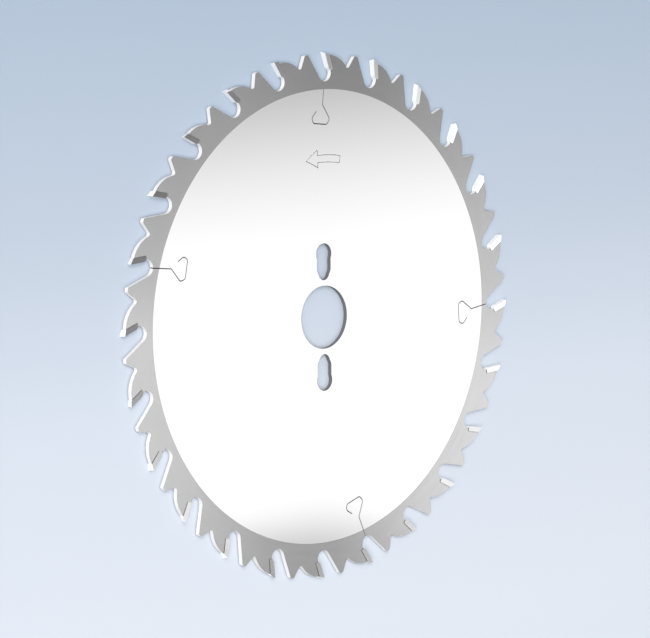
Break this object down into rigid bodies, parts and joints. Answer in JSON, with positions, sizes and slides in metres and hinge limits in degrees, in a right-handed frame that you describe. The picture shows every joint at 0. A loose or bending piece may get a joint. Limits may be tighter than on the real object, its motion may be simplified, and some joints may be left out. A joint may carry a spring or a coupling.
{
  "type": "circular saw blade",
  "caption": "Carbide-tipped circular saw blade for ripping wood, with chip limiters, curled expansion slots, a plain round bore and keyhole pin holes.",
  "frame": {"origin": "the middle of the bore, halfway through the plate; the blade lies flat on its tips", "axes": "+Z is the arbor's axis and points out of the face seen in the picture; +Y goes through the upper pin hole of the picture; seen from +Z the blade turns counter-clockwise to cut"},
  "size_m": [0.25, 0.25, 0.0032],
  "materials": {
    "saw_plate": "polished disc inside a circumferentially ground toothed rim",
    "carbide_tip": "ground sintered carbide",
    "braze": "silver braze, as flowed"
  },
  "bodies": {
    "root": {"saw_plate": "saw_plate", "carbide_tip_01": "carbide_tip", "carbide_tip_02": "carbide_tip", "carbide_tip_03": "carbide_tip", "carbide_tip_04": "carbide_tip", "carbide_tip_05": "carbide_tip", "carbide_tip_06": "carbide_tip", "carbide_tip_07": "carbide_tip", "carbide_tip_08": "carbide_tip", "carbide_tip_09": "carbide_tip", "carbide_tip_10": "carbide_tip", "carbide_tip_11": "carbide_tip", "carbide_tip_12": "carbide_tip", "carbide_tip_13": "carbide_tip", "carbide_tip_14": "carbide_tip", "carbide_tip_15": "carbide_tip", "carbide_tip_16": "carbide_tip", "carbide_tip_17": "carbide_tip", "carbide_tip_18": "carbide_tip", "carbide_tip_19": "carbide_tip", "carbide_tip_20": "carbide_tip", "carbide_tip_21": "carbide_tip", "carbide_tip_22": "carbide_tip", "carbide_tip_23": "carbide_tip", "carbide_tip_24": "carbide_tip"}
  },
  "joints": []
}
